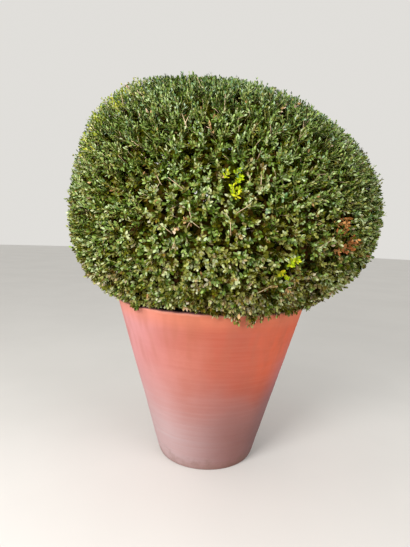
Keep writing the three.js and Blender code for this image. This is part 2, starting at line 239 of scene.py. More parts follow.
# Stretches of the rim that show bare: from and to which azimuth, and how far above the rim the leaves stop
BARE_RIM = ((-190, -160, 0.008), (-160, -147, 0.022), (-147, -142, 0.016), (-142, -137, 0.008),
            (-121, -107, 0.010), (-107, -100, 0.030), (-100, -94, 0.008))

# Dead leaves that stand or lie curled on the rim: azimuth, distance out from it, height above it, the way
# that they point, how far that rises, and their length
DEAD_LEAVES = (
    (-103.8, -0.006, 0.006, -110, 72, 0.042), (-101.6, -0.002, 0.006, -50, 50, 0.036),
    (-99.5, 0.000, 0.006, 165, 28, 0.030), (-96.0, -0.002, 0.006, 20, 16, 0.026),
    (-76.8, 0.034, -0.012, 95, 70, 0.025),
)
# Their edges curl up this many times as far as a live leaf folds down
DEAD_CURL = 5.0


# Numbers and forms that everything shares

def unit(vectors):
    """Each vector divided by its own length."""
    return vectors / np.maximum(np.linalg.norm(vectors, axis=-1, keepdims=True), 1e-12)


def square_to(way, vectors):
    """Unit vectors: what stays of each vector when its part along a unit way is taken off."""
    return unit(vectors - (vectors * way).sum(-1, keepdims=True) * way)


def between(ends, share):
    """The value at a share of the way from the first of two ends to the second."""
    return ends[0] + (ends[1] - ends[0]) * share


def angles(count):
    """Angles spread evenly round a full turn."""
    return np.arange(count) * 2 * np.pi / count


def circle(count):
    """Points spread evenly round a circle of radius 1, as (count, 2)."""
    return np.stack([np.cos(angles(count)), np.sin(angles(count))], -1)


def seeded(n, k):
    """A number from 0 to 1 that depends only on n and k: what a large sine leaves past its whole part."""
    wave = np.sin(n * 12.9898 + k * 78.233) * 43758.5453
    return wave - np.floor(wave)


def even_directions(count):
    """Directions spread evenly over a ball: heights in equal steps, each turned on by the golden angle."""
    n = np.arange(count)
    z = 1 - (2 * n + 1) / count
    flat = np.sqrt(1 - z * z)
    return np.stack([flat * np.cos(n * GOLDEN_ANGLE), flat * np.sin(n * GOLDEN_ANGLE), z], -1)


def direction_at(azimuth, elevation):
    turn, rise = np.broadcast_arrays(np.radians(azimuth), np.radians(elevation))
    return np.stack([np.cos(rise) * np.cos(turn), np.cos(rise) * np.sin(turn), np.sin(rise)], -1)


def leaning_directions(count, lean, lift):
    """The even directions, each leaned by a seeded push to any side and lifted most where it lies level."""
    n = np.arange(count)
    push = np.stack([seeded(n, 2), seeded(n, 3), seeded(n, 4)], -1) - 0.5
    leaned = unit(even_directions(count) + push * lean)
    return unit(leaned + UP * lift * (1 - np.abs(leaned[:, 2:])))


def ripple(points, length, seed, waves=20):
    """A smooth random field of spread 1: plane cosine waves of about one length, in seeded directions,
    added up and divided by the root of half their number."""
    rng = np.random.default_rng(seed)
    ways = unit(rng.normal(size=(waves, 3))) * rng.uniform(0.7, 1.4, (waves, 1)) * 2 * np.pi / length
    return np.cos(points @ ways.T + rng.uniform(0, 2 * np.pi, waves)).sum(-1) * np.sqrt(2 / waves)


def ripples(points, *layers):
    """Several ripples added up, each given as its height, length and seed."""
    return sum(height * ripple(points, length, seed) for height, length, seed in layers)


def smooth_step(values, low, high):
    """0 below low, 1 above high, and the cubic 3t² - 2t³ between."""
    t = np.clip((values - low) / (high - low), 0, 1)
    return t * t * (3 - 2 * t)


def crown_radius(directions):
    """Distance from the crown's centre to its clipped surface: a superellipsoid times its swells."""
    crown = bpy.context.scene.topiary_crown
    half = np.where(directions[..., 2] > 0, crown.half_height_up, crown.half_height_down)
    across = np.hypot(directions[..., 0], directions[..., 1]) / crown.half_width
    along = np.abs(directions[..., 2]) / half
    radius = (across ** CROWN_SQUARENESS + along ** CROWN_SQUARENESS) ** (-1 / CROWN_SQUARENESS)
    azimuths, elevations, shares = np.array(SWELLS, float).T
    apart = 1 - directions @ direction_at(azimuths, elevations).T
    return radius * (1 + (shares * np.exp(-apart / SWELL_SPREAD)).sum(-1))


def crown_point(directions, depth=0.0, share=1.0):
    """The point at a depth under the crown's surface, or at a share of its radius."""
    return CROWN_CENTRE + directions * (crown_radius(directions) * share - depth)[..., None]


def crown_depth(points):
    """How far the points lie under the crown's surface, along the line to its centre."""
    arms = points - CROWN_CENTRE
    return crown_radius(unit(arms)) - np.linalg.norm(arms, axis=-1)


def closeness(points, places):
    """From 1 at the nearest place's middle to 0 at its edge, by the square of the distance."""
    azimuths, elevations, radii = np.array(places, float).T
    middles = crown_point(direction_at(azimuths, elevations))
    apart = np.linalg.norm(points[:, None] - middles, axis=-1) / radii
    return np.clip(1 - apart ** 2, 0, 1).max(-1)


def pot_radius(height):
    """The pot's outer radius at a height: a straight taper from foot to rim."""
    pot = bpy.context.scene.topiary_pot
    return pot.foot_radius + (pot.rim_radius - pot.foot_radius) * height / POT_HEIGHT


def clear_of_pot(points, gap=0.003):
    """True above the rim, and outside the pot's wall below it."""
    across = np.hypot(points[..., 0], points[..., 1])
    return (points[..., 2] > POT_HEIGHT + gap) | (across > pot_radius(points[..., 2]) + gap)


def bent(start, bend, end, t):
    """Points of quadratic Bezier curves, (1-t)² start + 2t(1-t) bend + t² end, for t as (curves, steps)."""
    t = t[..., None]
    return (1 - t) ** 2 * start[:, None] + 2 * t * (1 - t) * bend[:, None] + t ** 2 * end[:, None]


def bent_way(start, bend, end, t):
    """The unit ways along the same curves: their derivative 2(1-t)(bend-start) + 2t(end-bend)."""
    t = t[..., None]
    return unit((1 - t) * (bend - start)[:, None] + t * (end - bend)[:, None])


# Meshes

def new_object(name, vertices, faces, materials, dealt=None):
    """One smooth mesh object at the origin. faces is a list of index arrays, each (count, corners), and
    dealt the material of each face, in the faces' order."""
    mesh = bpy.data.meshes.new(name)
    corners = np.concatenate([f.ravel() for f in faces])
    sizes = np.concatenate([np.full(len(f), f.shape[1]) for f in faces])
    mesh.vertices.add(len(vertices))
    mesh.vertices.foreach_set("co", np.ascontiguousarray(vertices, np.float32).ravel())
    mesh.loops.add(len(corners))
    mesh.loops.foreach_set("vertex_index", corners.astype(np.int32))
    mesh.polygons.add(len(sizes))
    mesh.polygons.foreach_set("loop_start", (np.cumsum(sizes) - sizes).astype(np.int32))
    for material in materials:
        mesh.materials.append(material)
    if dealt is not None:
        mesh.polygons.foreach_set("material_index", np.asarray(dealt, np.int32))
    mesh.polygons.foreach_set("use_smooth", np.ones(len(sizes), bool))
    mesh.update(calc_edges=True)
    made = bpy.data.objects.new(name, mesh)
    bpy.context.scene.collection.objects.link(made)
    return made


def dress(piece, slot, *nodes):
    """The piece rides on the one body and stands for the CAD nodes named, which it hides. slot is not used.
    """
    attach(piece, "root")
    if nodes:
        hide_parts(*nodes)


def wall_faces(index):
    """Faces between each ring and the next of a grid of vertices, (..., rings, sides)."""
    here, ahead = index[..., :-1, :], index[..., 1:, :]
    return np.stack([here, np.roll(here, -1, -1), np.roll(ahead, -1, -1), ahead], -1).reshape(-1, 4)


def ringed(vertices):
    """Closed bodies from their rings of vertices, (bodies, rings, sides, 3), with a face at each end."""
    index = np.arange(vertices.size // 3).reshape(vertices.shape[:3])
    return vertices.reshape(-1, 3), [wall_faces(index), index[:, 0, ::-1], index[:, -1]]


def tubes(centres, radii, sides):
    """Closed tubes about many paths, given as (paths, rings, 3), with radii of (paths, rings) or with one
    more axis for the sides. A point is its ring's centre plus the radius times cos·side + sin·other, where
    side is square to the path and keeps to one plane, and other is square to both."""
    ways = unit(np.gradient(centres, axis=1))
    chord = unit(centres[:, -1] - centres[:, 0])
    side = square_to(ways, np.cross(chord, np.eye(3)[np.abs(chord).argmin(-1)])[:, None])
    other = np.cross(ways, side)
    cosine, sine = circle(sides).T[..., None]
    around = side[:, :, None] * cosine + other[:, :, None] * sine
    if radii.ndim == 2:
        radii = radii[..., None]
    return ringed(centres[:, :, None] + around * np.broadcast_to(radii, around.shape[:3])[..., None])


def turned(radius, height, poles):
    """A closed turned surface: grids of radius and height, (rows, turns), that run from the lower pole out,
    up and back to the upper pole, with a fan of triangles to each pole, whose heights poles gives."""
    rows, turns = radius.shape
    x, y = circle(turns).T
    grid = np.stack([radius * x, radius * y, height], -1).reshape(-1, 3)
    vertices = np.concatenate([grid, [[0, 0, poles[0]], [0, 0, poles[1]]]])
    index = np.arange(rows * turns).reshape(rows, turns)
    ahead = np.roll(index, -1, 1)
    low = np.stack([np.full(turns, rows * turns), ahead[0], index[0]], -1)
    high = np.stack([np.full(turns, rows * turns + 1), index[-1], ahead[-1]], -1)
    return vertices, [wall_faces(index), low, high]


def arc(x, y, radius, start, stop, steps):
    """Points of a circle's arc between two angles in degrees, as (steps, 2)."""
    angle = np.radians(np.linspace(start, stop, steps))
    return np.stack([x + radius * np.cos(angle), y + radius * np.sin(angle)], -1)


# Materials

def linear(red, green, blue):
    """A colour as a screen shows it, 0 to 255, as linear light with full alpha."""
    shown = np.array([red, green, blue]) / 255
    light = np.where(shown < 0.04045, shown / 12.92, ((shown + 0.055) / 1.055) ** 2.4)
    return (*light.tolist(), 1.0)


def add(tree, kind, settings, inputs):
    """Adds a node. settings are its own properties, and inputs its sockets: a value, or the output that
    feeds it. The functions below find the tree by the socket that they are given."""
    made = tree.nodes.new(kind)
    for name, value in settings.items():
        setattr(made, name, value)
    for name, value in inputs.items():
        if isinstance(value, bpy.types.NodeSocket):
            tree.links.new(value, made.inputs[name])
        else:
            made.inputs[name].default_value = value
    return made


def times(first, second, plus=0.0):
    """first times second, plus a third value."""
    inputs = {0: first, 1: second, 2: plus}
    return add(first.id_data, "ShaderNodeMath", {"operation": "MULTIPLY_ADD"}, inputs).outputs[0]


def ramp(value, start, stop, most=1.0):
    """A soft rise from 0 at start to most at stop, in the value's own numbers."""
    return add(value.id_data, "ShaderNodeMapRange", {"interpolation_type": "SMOOTHSTEP"}, {
        "Value": value, "From Min": start, "From Max": stop, "To Max": most}).outputs["Result"]


def blend(factor, first, second):
    """The colour that goes from first to second as factor goes from 0 to 1."""
    inputs = {0: factor, 6: first, 7: second}
    return add(factor.id_data, "ShaderNodeMix", {"data_type": "RGBA"}, inputs).outputs[2]


def stretched(vector, scale):
    inputs = {0: vector, 1: scale}
    return add(vector.id_data, "ShaderNodeVectorMath", {"operation": "MULTIPLY"}, inputs).outputs[0]


def noise(vector, scale, detail, roughness=0.5):
    inputs = {"Vector": vector, "Scale": scale, "Detail": detail, "Roughness": roughness}
    return add(vector.id_data, "ShaderNodeTexNoise", {}, inputs).outputs["Fac"]


def start_group(name, result, **values):
    """A shader node group that is given a vector and named values, with their defaults, and has one named
    result. Returns its tree, what it is given and the socket of its result."""
    tree = bpy.data.node_groups.new(name, "ShaderNodeTree")
    tree.interface.new_socket("Vector", in_out="INPUT", socket_type="NodeSocketVector")
    for value, default in values.items():
        socket = tree.interface.new_socket(value, in_out="INPUT", socket_type="NodeSocketFloat")
        socket.default_value = default
    tree.interface.new_socket(result, in_out="OUTPUT", socket_type="NodeSocketFloat")
    given = tree.nodes.new("NodeGroupInput").outputs
    return tree, given, tree.nodes.new("NodeGroupOutput").inputs[result]


def place_group(name, make, vector, **values):
    """Places a group with the material's own values. It is made the first time that a material asks."""
    group = bpy.data.node_groups.get(name) or make(name)
    inputs = {"Vector": vector, **values}
    return add(vector.id_data, "ShaderNodeGroup", {"node_tree": group}, inputs).outputs[0]


def patch_group(name):
    """Soft patches: noise, taken from 0 to 1 between two of its levels."""
    tree, given, mask = start_group(name, "Mask", Scale=5.0, Detail=3.0, Low=0.4, High=0.6)
    level = noise(given["Vector"], given["Scale"], given["Detail"], 0.6)
    tree.links.new(ramp(level, given["Low"], given["High"]), mask)
    return tree


def patches(vector, scale, low=0.4, high=0.6, detail=3.0):
    return place_group("Patches", patch_group, vector, Scale=scale, Detail=detail, Low=low, High=high)


def grain_group(name):
    """The relief of a gritty surface: coarse noise plus some fine noise, less a small pit in each cell."""
    tree, given, height = start_group(name, "Height", Coarse=60.0, Fine=400.0, Pits=90.0, Depth=0.3)
    coarse = noise(given["Vector"], given["Coarse"], 4.0)
    grit = times(noise(given["Vector"], given["Fine"], 2.0), 0.35, coarse)
    cells = add(tree, "ShaderNodeTexVoronoi", {}, {"Vector": given["Vector"], "Scale": given["Pits"]})
    pits = times(ramp(cells.outputs["Distance"], 0.22, 0.08), given["Depth"])
    tree.links.new(times(pits, -1.0, grit), height)
    return tree


def grain(vector, coarse, fine, pits, depth):
    return place_group("Grain", grain_group, vector, Coarse=coarse, Fine=fine, Pits=pits, Depth=depth)


def start_material(name, **plain):
    """A material and its Principled BSDF, whose unvarying values plain gives."""
    material = bpy.data.materials.new(name)
    material.use_nodes = True
    shader = material.node_tree.nodes["Principled BSDF"]
    for socket, value in plain.items():
        shader.inputs[socket.replace("_", " ")].default_value = value
    return material, shader


def plain_material(name, colour, **plain):
    return start_material(name, Base_Color=linear(*colour), **plain)[0]


def object_coordinates(shader):
    return add(shader.id_data, "ShaderNodeTexCoord", {}, {}).outputs["Object"]


def layered(colour, layers):
    """The colour under its layers, each given as its mask and its colour."""
    for mask, over in layers:
        colour = blend(mask, colour, over)
    return colour


def feed(shader, colour, roughness, relief, strength, distance):
    """Gives the shader what varies over the surface: its colour, its roughness and its relief."""
    tree = shader.id_data
    bump = add(tree, "ShaderNodeBump", {}, {"Height": relief, "Strength": strength, "Distance": distance})
    tree.links.new(colour, shader.inputs["Base Color"])
    tree.links.new(roughness, shader.inputs["Roughness"])
    tree.links.new(bump.outputs["Normal"], shader.inputs["Normal"])


def terracotta_material(pot):
    """Fired clay: cloudy orange and salmon, fine throwing lines, faint streaks under the rim, a pale salty
    bloom that climbs from the foot, a rubbed rim whose top is darker with dirt and painted shade, and grime
    near the ground. Painted light and shade lie over it: cool light on the pink left, warm light on the
    orange right, and shade from the middle rightward, deepest at the lower right."""
    material, shader = start_material("Terracotta", Specular_IOR_Level=0.25)
    tree = material.node_tree
    place = object_coordinates(shader)
    apart = add(tree, "ShaderNodeSeparateXYZ", {}, {0: place}).outputs
    x, z = apart["X"], apart["Z"]
    facing = tree.nodes.new("ShaderNodeNewGeometry").outputs["Normal"]
    upward = add(tree, "ShaderNodeSeparateXYZ", {}, {0: facing}).outputs["Z"]
    clouds = patches(place, 3.4, 0.30, 0.70, 2.0)
    mottle = patches(place, 17.0, 0.38, 0.72, 3.0)
    lines = patches(stretched(place, (2.0, 2.0, 95.0)), 1.0, 0.40, 0.64, 4.0)
    streaks = patches(stretched(place, (18.0, 18.0, 1.0)), 1.0, 0.38, 0.70, 1.5)
    # Across, as a share of the pot's radius at that height, and heights with uneven borders
    radius = times(z, CLAY_TAPER, pot.foot_radius)
    side = add(tree, "ShaderNodeMath", {"operation": "DIVIDE"}, {0: x, 1: radius}).outputs[0]
    uneven = times(clouds, 0.20, times(mottle, 0.03, z))
    level = times(x, 0.26, times(clouds, -0.05, z))
    clay = layered(blend(clouds, (*pot.clay_colour, 1), (*pot.salmon_colour, 1)), (
        # Painted shade from the middle rightward, painted warm light on the orange right, the mottle, the
        # throwing lines and painted cool light on the pink left
        (ramp(x, -0.12, 0.10, 0.80), linear(168, 80, 60)),
        (times(ramp(x, 0.12, 0.34, 0.9), ramp(z, 0.30, 0.60)), linear(206, 94, 62)),
        (times(mottle, 0.20), linear(164, 86, 70)),
        (times(lines, 0.06), linear(208, 140, 122)),
        (ramp(x, -0.06, -0.44, 0.85), linear(202, 142, 145)),
        # The right edge, painted dull lilac as the bloom in painted shade, the warm band under the rim and
        # the streaks below it
        (times(ramp(side, 0.66, 1.04, 0.85), ramp(uneven, 0.80, 0.54)), linear(166, 110, 116)),
        (ramp(z, 0.74, 0.84, 0.5), linear(214, 128, 96)),
        (times(streaks, ramp(z, 0.36, 0.70, 0.34)), linear(158, 92, 72)),
        # The salty bloom, then painted shade at its right and the deepest painted shade at the lower right
        (times(ramp(level, 0.54, 0.04), times(lines, 0.12, 0.82)), (*pot.bloom_colour, 1)),
        (times(ramp(level, 0.64, 0.16), ramp(x, -0.22, 0.16, 0.85)), linear(120, 76, 70)),
        (times(ramp(side, 0.55, 1.0, 0.55), ramp(uneven, 0.62, 0.30)), linear(104, 78, 80)),
        # Grime near the ground, the rubbed rim, and its top darker with dirt and with painted shade
        (ramp(times(mottle, -0.05, z), 0.055, -0.01, 0.35), linear(108, 84, 68)),
        (ramp(times(mottle, 0.006, z), 0.836, 0.849, 0.55), linear(214, 148, 130)),
        (ramp(upward, 0.40, 0.90, 0.85), linear(124, 84, 90))))
    relief = times(lines, 0.2, grain(place, 45.0, 420.0, 70.0, 0.5))
    feed(shader, clay, times(mottle, 0.14, 0.78), relief, 0.30, 0.0012)
    return material


def soil_material():
    """Dark potting soil: brown crumbs, pale specks of grit and damp patches."""
    material, shader = start_material("Potting soil")
    place = object_coordinates(shader)
    damp = patches(place, 9.0, 0.35, 0.65)
    earth = layered(linear(52, 36, 26), (
        (patches(place, 140.0, 0.35, 0.65, 5.0), linear(98, 72, 52)),
        (times(damp, 0.5), linear(34, 24, 18)),
        (patches(place, 260.0, 0.68, 0.74, 1.0), linear(168, 150, 130))))
    relief = grain(place, 120.0, 600.0, 180.0, 0.6)
    feed(shader, earth, times(damp, -0.18, 0.98), relief, 0.8, 0.004)
    return material


def bark_material(bark_colour):
    """Corky bark: buff plates, dark cracks along the limb, and a green bloom of algae in patches."""
    material, shader = start_material("Bark")
    place = object_coordinates(shader)
    plates = patches(place, 55.0, 0.38, 0.62, 5.0)
    cracks = patches(stretched(place, (150.0, 150.0, 40.0)), 1.0, 0.52, 0.66, 3.0)
    bark = layered((*bark_colour, 1), (
        (plates, linear(186, 168, 136)),
        (cracks, linear(74, 56, 42)),
        (times(patches(place, 12.0, 0.55, 0.72), 0.35), linear(112, 118, 76))))
    relief = times(cracks, -1.0, grain(place, 90.0, 500.0, 120.0, 0.4))
    feed(shader, bark, times(plates, -0.13, 0.95), relief, 0.6, 0.002)
    return material


def leaf_materials(name, roughness, wax, *tints):
    """The plain tints of one kind of leaf, each with its share of the kind's waxy shine."""
    made = []
    for number, (tint, share) in enumerate(zip(tints, WAX_SHARES)):
        coat = min(wax * share, 1)
        made.append(plain_material(f"{name} {number + 1}", tint, Roughness=roughness, Coat_Weight=coat,
                                   Coat_Roughness=0.3, Specular_IOR_Level=min(coat, 0.2)))
    return made


def floor_material(floor_colour):
    """A pale studio floor with a faint cloudiness."""
    material, shader = start_material("Studio floor", Roughness=0.85, Specular_IOR_Level=0.2)
    clouds = patches(object_coordinates(shader), 0.8, 0.3, 0.7)
    darker = tuple(0.96 * c for c in floor_colour)
    cloudy = blend(clouds, (*floor_colour, 1), (*darker, 1))
    material.node_tree.links.new(cloudy, shader.inputs["Base Color"])
    return material


# Settings

def size_setting(name, description, default, least):
    return bpy.props.FloatProperty(
        name=name, description=description, default=default, min=least, unit="LENGTH")


def colour_setting(name, description, default):
    return bpy.props.FloatVectorProperty(
        name=name, description=description, default=default[:3], min=0, max=1, subtype="COLOR")


class TopiaryPotSettings(bpy.types.PropertyGroup):
    rim_radius: size_setting("Rim Radius", "Outer radius at the height of the rim", 0.5, 0.1)
    foot_radius: size_setting("Foot Radius", "Outer radius at the ground", 0.255, 0.05)
    clay_colour: colour_setting("Clay", "Colour of the bare fired clay", linear(166, 88, 70))
    salmon_colour: colour_setting("Salmon", "Colour of the paler clouds in the clay", linear(178, 106, 92))
    bloom_colour: colour_setting("Bloom", "Colour of the salts that creep up from the foot",
                                 linear(180, 158, 160))


class TopiaryCrownSettings(bpy.types.PropertyGroup):
    half_width: size_setting("Half Width", "Half the width of the clipped ball", 0.796, 0.2)
    half_height_up: size_setting("Height Up", "From the ball's centre to its top", 0.664, 0.2)
    half_height_down: size_setting("Height Down", "From the ball's centre to its underside", 0.558, 0.2)
    hollow_depth: size_setting("Hollow Depth", "How far the hollows between tufts sink", 0.058, 0)


class TopiaryWoodSettings(bpy.types.PropertyGroup):
    bark_colour: colour_setting("Bark", "Colour between the plates of bark", linear(138, 118, 90))
    bark_relief: bpy.props.FloatProperty(
        name="Bark Relief", description="Depth of the cracks as a share of the limb's radius", default=0.09,
        min=0, max=0.3, subtype="FACTOR")


class TopiaryLeafSettings(bpy.types.PropertyGroup):
    shoots: bpy.props.IntProperty(
        name="Shoots", description="Leafy shoots over the whole ball", default=14000, min=100)
    length: size_setting("Leaf Length", "Length of a full-grown leaf", 0.0235, 0.005)
    breadth: bpy.props.FloatProperty(
        name="Leaf Breadth", description="Breadth as a share of the length", default=0.57, min=0.2, max=1,
        subtype="FACTOR")


class TopiaryStageSettings(bpy.types.PropertyGroup):
    floor_colour: colour_setting("Floor", "Colour of the studio floor", (0.72, 0.71, 0.69))
    sky_strength: bpy.props.FloatProperty(
        name="Sky Strength", description="Brightness of the soft light from all round", default=0.75, min=0)
    key_power: bpy.props.FloatProperty(
        name="Key Power", description="Power of the large lamp at the left", default=190.0, min=0,
        unit="POWER")


# Pot and soil

def pot_profile():
    """The pot's section as (points, 2): from under the middle, up the wall, over the rim and down inside."""
    rim = POT_HEIGHT - RIM_ROUNDING
    wall = np.linspace(FOOT_ROUNDING, rim, WALL_ROWS)[1:-1]
    inside = np.linspace(rim, POT_FLOOR, INSIDE_ROWS)[1:]
    foot = pot_radius(0) - FOOT_ROUNDING
    under = np.linspace(POLE_RADIUS, foot, FLAT_ROWS)
    bottom = np.linspace(pot_radius(POT_FLOOR) - POT_WALL, POLE_RADIUS, FLAT_ROWS)[1:]
    return np.concatenate([
        np.stack([under, np.zeros(len(under))], -1),
        arc(foot, FOOT_ROUNDING, FOOT_ROUNDING, -60, 0, 4),
        np.stack([pot_radius(wall), wall], -1),
        arc(pot_radius(rim) - RIM_ROUNDING, rim, RIM_ROUNDING, 0, 90, 7),
        arc(pot_radius(rim) - POT_WALL + RIM_ROUNDING, rim, RIM_ROUNDING, 90, 180, 7),
        np.stack([pot_radius(inside) - POT_WALL, inside], -1),
        np.stack([bottom, np.full(len(bottom), POT_FLOOR)], -1),
    ])


def pot_surface():
    """The turned profile, a little out of round, with throwing lines up the wall and a rim that dips and
    wears unevenly."""
    radius, height = pot_profile().T[:, :, None]
    angle = angles(POT_TURNS)
    around = np.broadcast_to(circle(POT_TURNS), (len(radius), POT_TURNS, 2))
    level = np.broadcast_to(height, (len(radius), POT_TURNS))
    place = np.concatenate([around * 0.5, level[..., None]], -1)
    above_foot = smooth_step(level, 0.004, 0.03)
    throwing = THROWING * ripple(place * [0.6, 0.6, 9.0], 0.16, 11) + WAVES * ripple(place, 0.22, 12)
    dents = -RIM_DENTS * smooth_step(ripple(place, 0.035, 13), 1.7, 2.6) * smooth_step(level, 0.832, 0.848)
    oval = LOBES[0] * np.cos(2 * angle + 0.7) + LOBES[1] * np.cos(3 * angle + 2.0)
    worn = RIM_WEAR * ripple(place, 0.09, 14) * smooth_step(level, 0.80, 0.85)
    return turned(radius + (throwing + oval + dents) * above_foot, level + worn + dents, (0, POT_FLOOR))


def soil_surface():
    """A turned body inside the pot whose top is lumpy: three ripples, and a low mound round the trunk."""
    reach = pot_radius(SOIL_TOP) - POT_WALL - SOIL_EDGE_GAP
    foot_reach = pot_radius(SOIL_BOTTOM) - POT_WALL - SOIL_EDGE_GAP
    under = np.linspace(POLE_RADIUS, foot_reach, FLAT_ROWS - 1)
    radius = np.concatenate([under, np.linspace(reach, SOIL_POLE, SOIL_ROWS)])[:, None]
    top = np.arange(len(radius))[:, None] >= len(under)
    across = circle(POT_TURNS) * radius[:, :, None]
    place = np.concatenate([across, np.zeros((len(radius), POT_TURNS, 1))], -1)
    mound = SOIL_MOUND[0] * np.exp(-(radius / SOIL_MOUND[1]) ** 2)
    height = np.where(top, SOIL_TOP - SOIL_SINK + ripples(place, *SOIL_LUMPS) + mound, SOIL_BOTTOM)
    return turned(np.broadcast_to(radius, height.shape), height, (SOIL_BOTTOM, float(height[-1].mean())))


def crumb_surface(rng):
    """Lumps of soil on its top: balls of 4 rows and 6 turns, stretched and dented at random."""
    ball = direction_at(np.arange(6) * 60, np.array([[-50], [-12], [28], [60]])).reshape(-1, 3)
    ball = ball * rng.uniform(0.75, 1.25, (CRUMBS, 24, 1)) * rng.uniform(0.6, 1.3, (CRUMBS, 1, 3))
    reach = pot_radius(SOIL_TOP) - POT_WALL - CRUMB_EDGE_GAP
    across = reach * np.sqrt(rng.uniform(0.02, 1, CRUMBS))
    azimuth = rng.uniform(0, 2 * np.pi, CRUMBS)
    middle = np.stack([across * np.cos(azimuth), across * np.sin(azimuth), np.full(CRUMBS, SOIL_TOP)], -1)
    lumps = middle[:, None] + ball * rng.uniform(*CRUMB_SIZES, (CRUMBS, 1, 1))
    return ringed(lumps.reshape(CRUMBS, 4, 6, 3))


class TOPIARY_OT_pot(bpy.types.Operator):
    """Turns the terracotta pot"""
    bl_idname = "topiary.pot"
    bl_label = "Pot"

    def execute(self, context):
        material = terracotta_material(context.scene.topiary_pot)
        dress(new_object("terracotta_pot", *pot_surface(), [material]), "terracotta", "pot")
        return {"FINISHED"}


class TOPIARY_OT_soil(bpy.types.Operator):
    """Fills the pot with soil and scatters crumbs on it"""
    bl_idname = "topiary.soil"
    bl_label = "Soil"

    def execute(self, context):
        material = soil_material()
        dress(new_object("potting_soil", *soil_surface(), [material]), "soil", "soil")
        crumbs = crumb_surface(np.random.default_rng(31))
        dress(new_object("soil_crumbs", *crumbs, [material]), "soil")
        return {"FINISHED"}


# Wood

def trunk_curve():
    """Start, bend and end of the trunk's middle line: straight up, then leaning."""
    base = UP * TRUNK_BASE
    return base, base + UP * TRUNK_LENGTH / 2, base + UP * TRUNK_LENGTH + TRUNK_LEAN


def points_on(curve, t):
    """Points of one curve, at the shares t of it."""
    return bent(*(point[None] for point in curve), t[None])


def bough_curve(n):
    """A bough leaves the trunk's middle line, arches, and ends in the leafy shell."""
    azimuth = (n + BOUGH_SCATTER * seeded(n, 1)) * 360 / BOUGHS
    elevation = BOUGH_ELEVATION + BOUGH_ELEVATION_STEP * (n % 2)
    along = BOUGH_START + BOUGH_START_STEP * (n % 2)
    start = points_on(trunk_curve(), np.array([along]))[0, 0]
    end = crown_point(direction_at(azimuth, elevation), share=BOUGH_END)
    bend = start + (end - start) * BOUGH_BEND
    return start, bend + UP * BOUGH_ARCH * np.linalg.norm(end - start), end


def stem_curve():
    start = trunk_curve()[2]
    end = crown_point(UP, share=STEM_END) + UP * STEM_RISE
    return start, (start + end) / 2 + STEM_BOW, end


def limb_surface(curve, radii, flare, seed, sides, rings):
    """One limb: a tube about its bent middle line, widened at its foot by flare, whose radius is cut by
    cracks that run along it and swollen by knots, and which closes in a dome."""
    along = np.linspace(0, 1, rings)
    radius = between(radii, along) + flare * (1 - along) ** 4
    length = np.linalg.norm(curve[2] - curve[0])
    dome = np.sqrt(np.clip(1 - (1 - (1 - along) * length / radii[1]).clip(0, 1) ** 2, 0.03, 1))
    x, y = circle(sides).T
    skin = np.stack(np.broadcast_arrays(x, y, (along * length / radii[0])[:, None]), -1)
    relief = bpy.context.scene.topiary_wood.bark_relief
    cracks = smooth_step(np.abs(ripple(skin * [1, 1, 0.22], 0.75, seed)), 0.0, 0.5) - 1
    knots = 0.6 * ripple(skin * [1, 1, 0.5], 3.0, seed + 1) + 0.25 * ripple(skin, 0.5, seed + 2)
    grown = radius[:, None] * dome[:, None] * (1 + relief * (cracks + knots))
    return tubes(points_on(curve, along), grown[None], sides)


class TOPIARY_OT_trunk(bpy.types.Operator):
    """Grows the short trunk with its root flare"""
    bl_idname = "topiary.trunk"
    bl_label = "Trunk"

    def execute(self, context):
        radii = (TRUNK_RADIUS, TRUNK_RADIUS * (1 - TRUNK_TAPER))
        surface = limb_surface(trunk_curve(), radii, ROOT_FLARE, 41, **TRUNK_MESH)
        material = bark_material(context.scene.topiary_wood.bark_colour)
        dress(new_object("trunk_bark", *surface, [material]), "bark", "trunk")
        return {"FINISHED"}


class TOPIARY_OT_boughs(bpy.types.Operator):
    """Grows the six boughs, and the stem that goes on from the trunk"""
    bl_idname = "topiary.boughs"
    bl_label = "Boughs and Stem"

    def execute(self, context):
        material = bpy.data.materials["Bark"]
        for n in range(BOUGHS):
            radii = (BOUGH_RADIUS, BOUGH_TIP_RADIUS)
            surface = limb_surface(bough_curve(n), radii, BOUGH_FLARE, 50 + 3 * n, **BOUGH_MESH)
            dress(new_object(f"bough_bark_{n + 1}", *surface, [material]), "bark", f"bough_{n + 1}")
        radii = (STEM_RADIUS, STEM_TIP_RADIUS)
        surface = limb_surface(stem_curve(), radii, STEM_FLARE, 80, **STEM_MESH)
        dress(new_object("stem_bark", *surface, [material]), "bark", "foliage")
        return {"FINISHED"}


def nearest_wood(ends, wood, ways):
    """For each end, which point of the wood it grows from: the one that is near, and behind it along the
    wood's own way. The cost is the distance less half of the part of it that runs along that way."""
    chosen = []
    for some in np.array_split(ends, max(1, len(ends) // ENDS_AT_ONCE)):
        apart = (some ** 2).sum(-1)[:, None] + (wood ** 2).sum(-1) - 2 * some @ wood.T
        ahead = some @ ways.T - (wood * ways).sum(-1)
        chosen.append((np.sqrt(np.maximum(apart, 0)) - 0.5 * ahead).argmin(-1))
    return np.concatenate(chosen)


def grow_from(wood, ways, ends, outward):
    """Curves from the wood to the ends: they leave along the wood's way, and arrive going outward."""
    root = nearest_wood(ends, wood, ways)
    start = wood[root]
    reach = np.linalg.norm(ends - start, axis=-1, keepdims=True)
    bend = (start + ways[root] * FORK * reach + ends - outward * FORK * reach) / 2
    return start, bend, ends


def wood_of(curves, first, last, steps):
    """Points along the curves that the next level may grow from, and the ways of the wood there."""
    t = np.broadcast_to(np.linspace(first, last, steps), (len(curves[0]), steps))
    return bent(*curves, t).reshape(-1, 3), bent_way(*curves, t).reshape(-1, 3)


def rising(directions, rise):
    """The ways in which twigs at these directions grow: outward, and up by a share."""
    return unit(directions + UP * rise)


